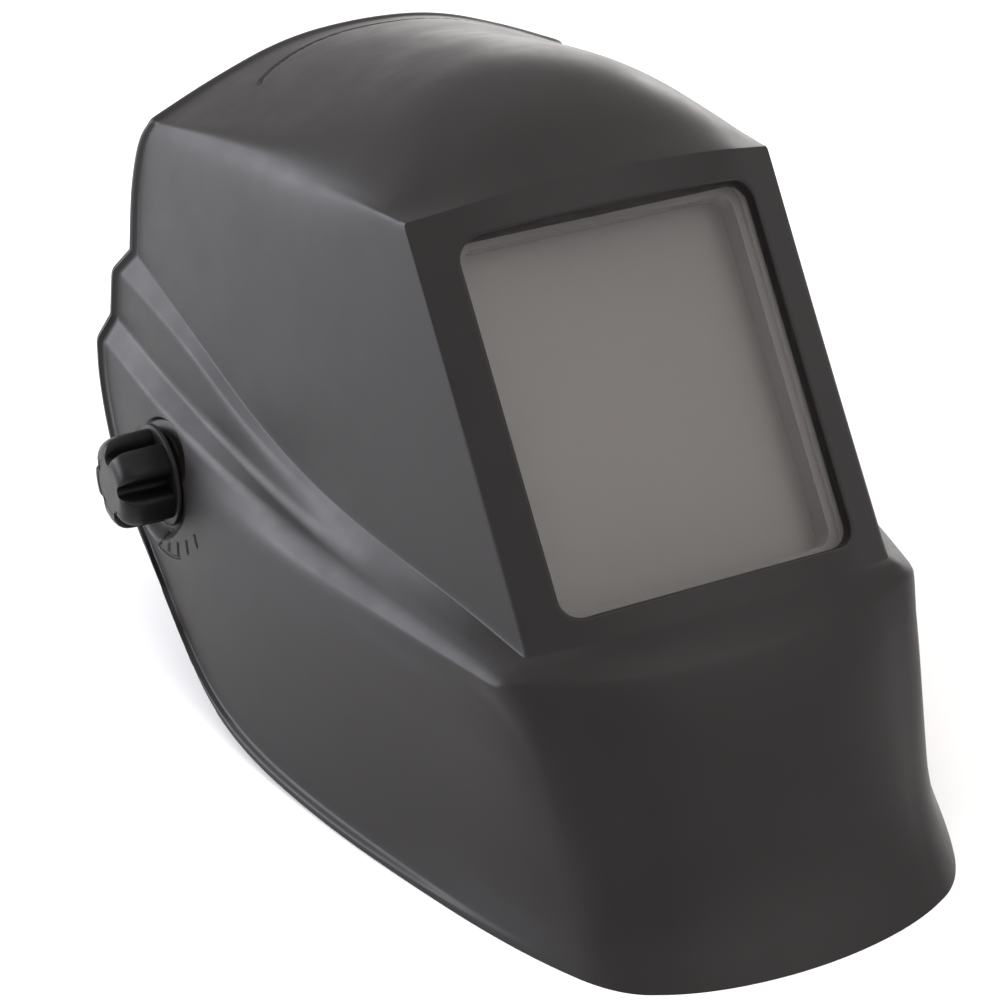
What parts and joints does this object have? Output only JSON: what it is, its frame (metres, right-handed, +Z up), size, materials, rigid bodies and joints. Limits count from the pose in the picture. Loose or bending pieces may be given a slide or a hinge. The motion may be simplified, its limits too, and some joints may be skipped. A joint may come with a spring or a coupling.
{
  "type": "welding helmet",
  "caption": "Passive welding helmet: one-piece moulded shell with a large lens window, lens stack in a hinged retainer, and adjustable pivoting headgear with ratchet",
  "frame": {"origin": "centre of the helmet's bounding box in plan, at the level of the table it stands on", "axes": "+X the wearer's left, -Y the way the helmet faces, +Z up; the helmet stands on its lower rim, leaning back"},
  "size_m": [0.2502, 0.3778, 0.2315],
  "materials": {
    "shell_plastic": "satin moulded nylon",
    "clear_plate": "clear polycarbonate",
    "gasket_rubber": "matte",
    "spacer_plastic": "matte",
    "filter_glass": null,
    "retainer_plastic": "matte",
    "spring_steel": "bright strip",
    "band_plastic": "satin flexible plastic",
    "pad_fabric": "woven cotton over foam",
    "arm_plastic": "satin",
    "bolt_steel": "zinc plated",
    "stop_plastic": "satin",
    "fibre_washer": "vulcanised fibre",
    "washer_steel": "bright",
    "knob_plastic": "satin black",
    "insert_brass": "machined",
    "ratchet_plastic": "satin",
    "pinion_plastic": "natural acetal"
  },
  "bodies": {
    "shell_body": {"shell": "shell_plastic", "outer_cover_plate": "clear_plate", "lens_gasket": "gasket_rubber", "lens_spacer": "spacer_plastic", "filter_plate": "filter_glass", "inner_cover_plate": "clear_plate", "friction_washer_left": "fibre_washer", "friction_washer_right": "fibre_washer", "tension_washer_left": "washer_steel", "tension_washer_right": "washer_steel"},
    "retainer": {"lens_retainer": "retainer_plastic", "retainer_springs": "spring_steel"},
    "headgear": {"headband_front": "band_plastic", "rear_band_left": "band_plastic", "rear_band_right": "band_plastic", "crown_strap_left": "band_plastic", "crown_strap_right": "band_plastic", "crown_bridge": "band_plastic", "sweatband": "pad_fabric", "nape_pad": "pad_fabric", "side_arm_left": "arm_plastic", "side_arm_right": "arm_plastic", "pivot_bolt_left": "bolt_steel", "pivot_bolt_right": "bolt_steel", "ratchet_housing": "ratchet_plastic", "ratchet_cover": "ratchet_plastic", "headgear_rivets": "bolt_steel", "housing_screws": "bolt_steel"},
    "tilt_stop_left": {"tilt_stop_left": "stop_plastic"},
    "tilt_stop_right": {"tilt_stop_right": "stop_plastic"},
    "knob_left": {"pivot_knob_left": "knob_plastic", "knob_insert_left": "insert_brass"},
    "knob_right": {"pivot_knob_right": "knob_plastic", "knob_insert_right": "insert_brass"},
    "ratchet": {"ratchet_knob": "ratchet_plastic", "ratchet_pinion": "pinion_plastic"},
    "rack_left": {"rack_tail_left": "band_plastic"},
    "rack_right": {"rack_tail_right": "band_plastic"}
  },
  "joints": [
    {"name": "headgear_tilt", "type": "hinge", "parent": "shell_body", "child": "headgear", "pos_m": [0, 0.0843, 0.067], "axis": [1, 0, 0], "range_deg": [0, 50]},
    {"name": "retainer_swing", "type": "hinge", "parent": "shell_body", "child": "retainer", "pos_m": [0, -0.02335, 0.1867], "axis": [1, 0, 0], "range_deg": [0, 35]},
    {"name": "tilt_stop_turn_left", "type": "hinge", "parent": "shell_body", "child": "tilt_stop_left", "pos_m": [0.095, 0.0843, 0.067], "axis": [1, 0, 0], "range_deg": [-20, 0]},
    {"name": "tilt_stop_turn_right", "type": "hinge", "parent": "shell_body", "child": "tilt_stop_right", "pos_m": [-0.095, 0.0843, 0.067], "axis": [1, 0, 0], "range_deg": [-20, 0]},
    {"name": "knob_turn_left", "type": "hinge", "parent": "headgear", "child": "knob_left", "pos_m": [0.115, 0.0843, 0.067], "axis": [1, 0, 0], "range_deg": [-180, 180]},
    {"name": "knob_turn_right", "type": "hinge", "parent": "headgear", "child": "knob_right", "pos_m": [-0.115, 0.0843, 0.067], "axis": [1, 0, 0], "range_deg": [-180, 180]},
    {"name": "ratchet_turn", "type": "hinge", "parent": "headgear", "child": "ratchet", "pos_m": [0, 0.16519, 0.02755], "axis": [0, 0.8988, -0.4384], "range_deg": [-48, 48]},
    {"name": "rack_slide_left", "type": "slide", "parent": "headgear", "child": "rack_left", "axis": [1, 0, 0], "range_m": [-0.0065, 0.0065]},
    {"name": "rack_slide_right", "type": "slide", "parent": "headgear", "child": "rack_right", "axis": [-1, 0, 0], "range_m": [-0.0065, 0.0065]}
  ],
  "couplings": [
    {"joint": "rack_slide_left", "follows": "ratchet_turn", "m_per_rad": 0.0075},
    {"joint": "rack_slide_right", "follows": "ratchet_turn", "m_per_rad": 0.0075}
  ]
}
